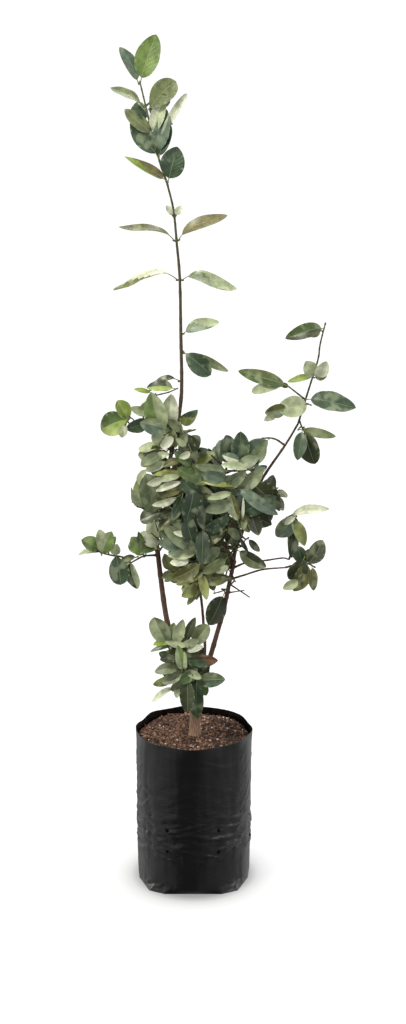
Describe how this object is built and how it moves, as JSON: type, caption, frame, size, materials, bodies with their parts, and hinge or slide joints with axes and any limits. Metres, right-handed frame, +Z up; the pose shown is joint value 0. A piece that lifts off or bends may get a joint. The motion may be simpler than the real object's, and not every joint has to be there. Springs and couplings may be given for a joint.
{
  "type": "potted sapling",
  "caption": "Young broadleaf tree with three upright stems, opposite glossy leaves and a bare leader with a leafy tip, standing in a black film planter bag of bark mix.",
  "frame": {"origin": "centre of the bag's flat underside", "axes": "+Z up along the tree, -Y towards the front, +X to the right as seen from the front"},
  "size_m": [0.3709, 0.1714, 1.1538],
  "materials": {
    "bark": "matt red-brown bark",
    "green_bark": "matt olive young bark",
    "leaves": "glossy green leaf",
    "bag_film": "satin black polythene film",
    "potting_mix": "loose composted bark"
  },
  "bodies": {
    "root": {"back_left_bough": "green_bark", "back_right_bough": "green_bark", "base_tuft_lower": "leaves", "base_tuft_upper": "leaves", "crown_back": "leaves", "crown_back_left": "leaves", "crown_back_low": "leaves", "crown_back_right": "leaves", "crown_back_top": "leaves", "crown_centre": "leaves", "crown_left": "leaves", "crown_low": "leaves", "crown_low_right": "leaves", "crown_mid_left": "leaves", "crown_mid_right": "leaves", "crown_neck": "leaves", "crown_right": "leaves", "crown_right_outer": "leaves", "crown_top": "leaves", "crown_upper": "leaves", "fork_leaves": "leaves", "inner_bough": "green_bark", "leader": "bark", "leader_leaf_arched": "leaves", "leader_leaf_bud_left": "leaves", "leader_leaf_bud_right": "leaves", "leader_leaf_dark": "leaves", "leader_leaf_grey": "leaves", "leader_leaf_lower_right": "leaves", "leader_leaf_middle_left": "leaves", "leader_leaf_middle_right": "leaves", "leader_leaf_pointed": "leaves", "leader_leaf_upper_left": "leaves", "leader_leaf_upper_right": "leaves", "leader_tip_tuft": "leaves", "left_bough": "green_bark", "left_spray_inner": "leaves", "left_spray_outer": "leaves", "lone_dark_leaf": "leaves", "middle_stem": "bark", "planter_bag": "bag_film", "potting_mix": "potting_mix", "right_bough_lower": "green_bark", "right_bough_shoot": "leaves", "right_bough_side_leaf": "leaves", "right_bough_upper": "green_bark", "right_spray_lower": "leaves", "right_spray_upper": "leaves", "right_stem": "bark", "short_twig_lower": "green_bark", "short_twig_upper": "green_bark", "trunk": "bark", "upper_left_bough": "green_bark", "upper_left_spray": "leaves"}
  },
  "joints": []
}
